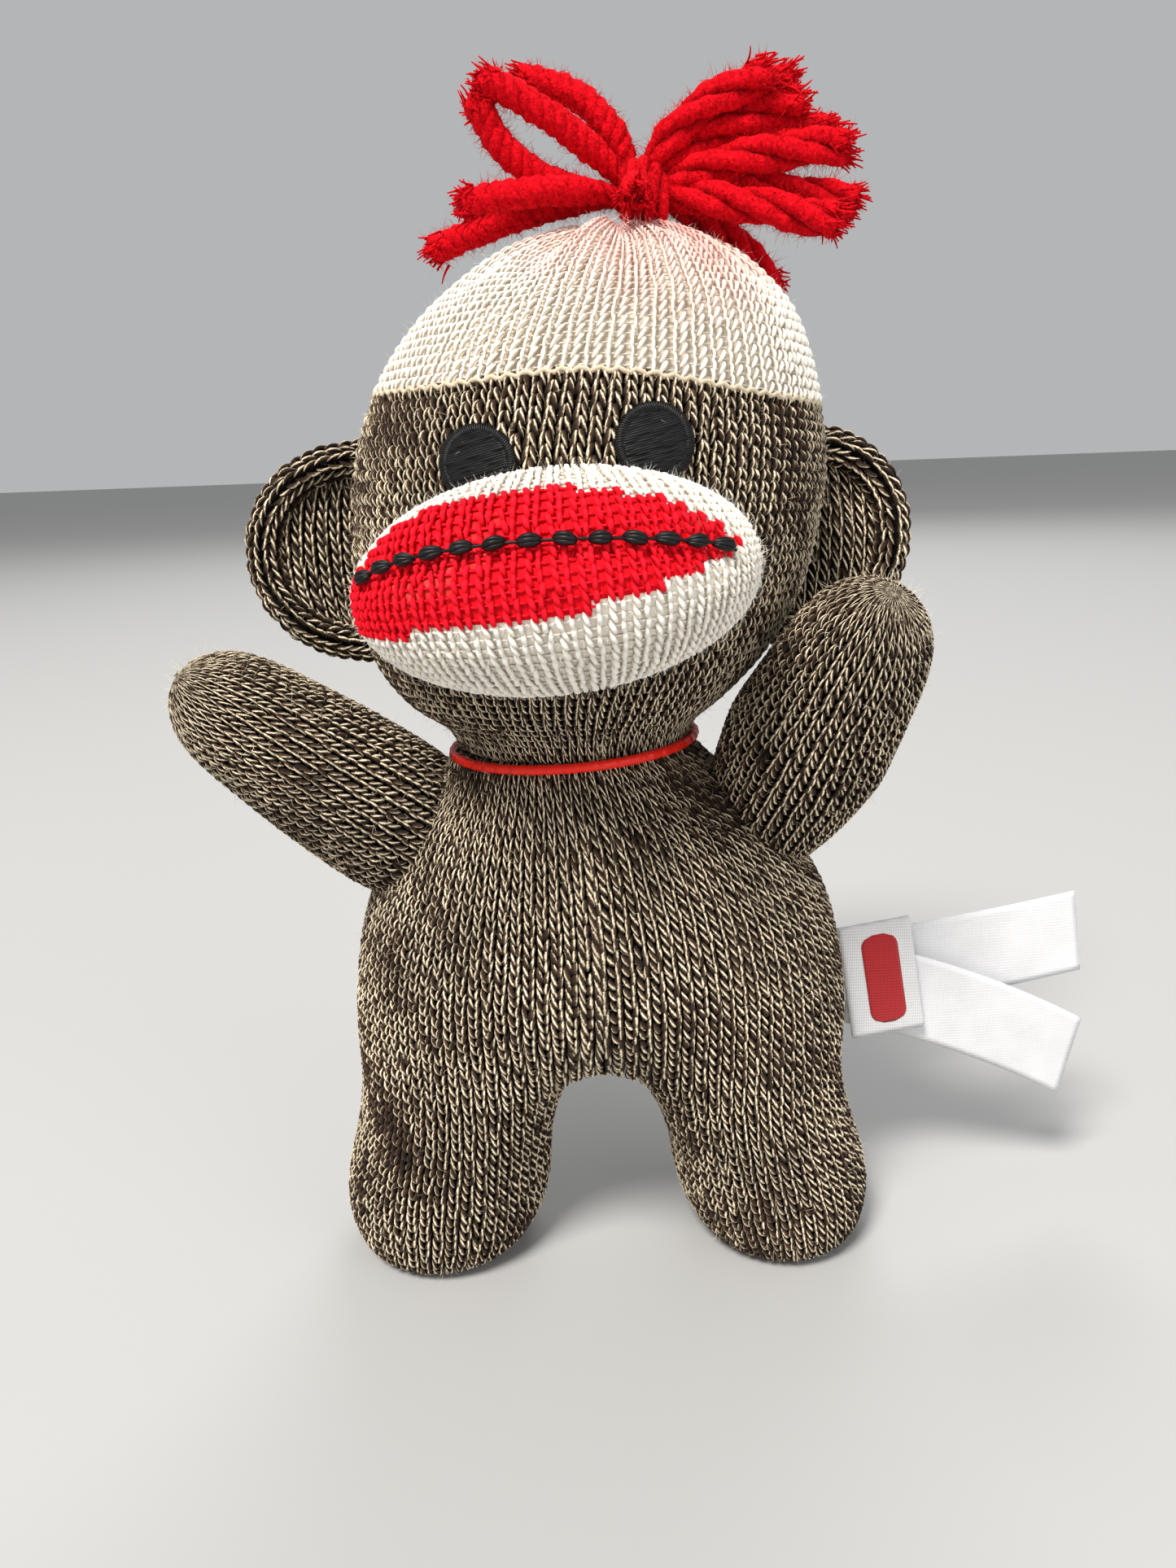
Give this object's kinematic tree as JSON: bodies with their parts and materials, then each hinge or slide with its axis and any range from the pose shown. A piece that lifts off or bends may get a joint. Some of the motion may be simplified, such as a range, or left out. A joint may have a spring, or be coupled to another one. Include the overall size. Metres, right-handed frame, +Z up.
{
  "type": "stuffed monkey",
  "caption": "Standing stuffed sock monkey in marl knit with white hat, padded white muzzle, red lips, raised arms and a yarn tassel.",
  "frame": {"origin": "centre of the whole object's box, on the floor under the soles", "axes": "+Z up, the face looks along -Y, +X is the viewer's right"},
  "size_m": [0.1716, 0.0944, 0.217],
  "materials": {
    "marl_knit": "brown and cream two-ply marl wool, stocking stitch",
    "white_knit": "fine off-white wool knit",
    "red_knit": "fine red wool knit",
    "red_yarn": "thick fuzzy two-ply acrylic yarn",
    "red_satin": "satin-covered round elastic",
    "black_thread": "black embroidery thread",
    "label_red": "woven label with a red panel",
    "label_satin": "white satin ribbon",
    "stuffing": "white polyester fibre fill"
  },
  "bodies": {
    "torso": {"torso_cover": "marl_knit", "torso_stuffing": "stuffing", "neck_cord": "red_satin"},
    "neck": {"neck_stuffing": "stuffing"},
    "head": {"head_cover": "marl_knit", "head_stuffing": "stuffing", "hat_crown": "white_knit", "muzzle_cover": "white_knit", "muzzle_stuffing": "stuffing", "lip_panel": "red_knit", "mouth_stitching": "black_thread", "left_eye": "black_thread", "right_eye": "black_thread", "tassel_knot": "red_yarn", "yarn_end_14": "red_yarn"},
    "left_ear": {"left_ear": "marl_knit"},
    "right_ear": {"right_ear": "marl_knit"},
    "left_arm": {"left_arm_cover": "marl_knit", "left_arm_stuffing": "stuffing"},
    "right_arm": {"right_arm_cover": "marl_knit", "right_arm_stuffing": "stuffing"},
    "left_leg": {"left_leg_cover": "marl_knit", "left_leg_stuffing": "stuffing"},
    "right_leg": {"right_leg_cover": "marl_knit", "right_leg_stuffing": "stuffing"},
    "left_tuft": {"yarn_end_01": "red_yarn", "yarn_end_02": "red_yarn", "yarn_end_03": "red_yarn", "yarn_end_04": "red_yarn", "yarn_end_05": "red_yarn"},
    "right_tuft": {"yarn_end_06": "red_yarn", "yarn_end_07": "red_yarn", "yarn_end_08": "red_yarn", "yarn_end_09": "red_yarn", "yarn_end_10": "red_yarn", "yarn_end_11": "red_yarn", "yarn_end_12": "red_yarn", "yarn_end_13": "red_yarn"},
    "labels": {"brand_label": "label_red", "care_label_front": "label_satin", "care_label_back": "label_satin"}
  },
  "joints": [
    {"name": "head_turn", "type": "hinge", "parent": "torso", "child": "neck", "pos_m": [-0.01677, 0.00972, 0.1035], "axis": [0, 0, 1], "range_deg": [-10, 10], "stiffness_Nm_per_rad": 0.2},
    {"name": "head_nod", "type": "hinge", "parent": "neck", "child": "head", "pos_m": [-0.01677, 0.00972, 0.1035], "axis": [1, 0, 0], "range_deg": [-8, 7], "stiffness_Nm_per_rad": 0.3},
    {"name": "left_ear_fold", "type": "hinge", "parent": "head", "child": "left_ear", "pos_m": [-0.05327, 0.01572, 0.137], "axis": [0, 0, 1], "range_deg": [-15, 15], "stiffness_Nm_per_rad": 0.01},
    {"name": "right_ear_fold", "type": "hinge", "parent": "head", "child": "right_ear", "pos_m": [0.02653, 0.01572, 0.137], "axis": [0, 0, 1], "range_deg": [-15, 15], "stiffness_Nm_per_rad": 0.01},
    {"name": "left_shoulder", "type": "hinge", "parent": "torso", "child": "left_arm", "pos_m": [-0.04707, 0.00972, 0.0845], "axis": [0, 1, 0], "range_deg": [-55, 3], "stiffness_Nm_per_rad": 0.06},
    {"name": "right_shoulder", "type": "hinge", "parent": "torso", "child": "right_arm", "pos_m": [0.01943, 0.00972, 0.0855], "axis": [0, 1, 0], "range_deg": [-3, 65], "stiffness_Nm_per_rad": 0.06},
    {"name": "left_hip", "type": "hinge", "parent": "torso", "child": "left_leg", "pos_m": [-0.04057, 0.00972, 0.0365], "axis": [1, 0, 0], "range_deg": [-50, 10], "stiffness_Nm_per_rad": 0.4},
    {"name": "right_hip", "type": "hinge", "parent": "torso", "child": "right_leg", "pos_m": [0.01343, 0.00972, 0.0365], "axis": [1, 0, 0], "range_deg": [-50, 10], "stiffness_Nm_per_rad": 0.4},
    {"name": "left_tuft_flop", "type": "hinge", "parent": "head", "child": "left_tuft", "pos_m": [-0.00317, 0.00972, 0.1941], "axis": [0, 1, 0], "range_deg": [-3, 8], "stiffness_Nm_per_rad": 0.004},
    {"name": "right_tuft_flop", "type": "hinge", "parent": "head", "child": "right_tuft", "pos_m": [-0.00117, 0.00972, 0.1941], "axis": [0, 1, 0], "range_deg": [-8, 3], "stiffness_Nm_per_rad": 0.004},
    {"name": "label_flap", "type": "hinge", "parent": "torso", "child": "labels", "pos_m": [0.03553, 0.00972, 0.049], "axis": [0, 0, 1], "range_deg": [-45, 45], "stiffness_Nm_per_rad": 0.001}
  ]
}
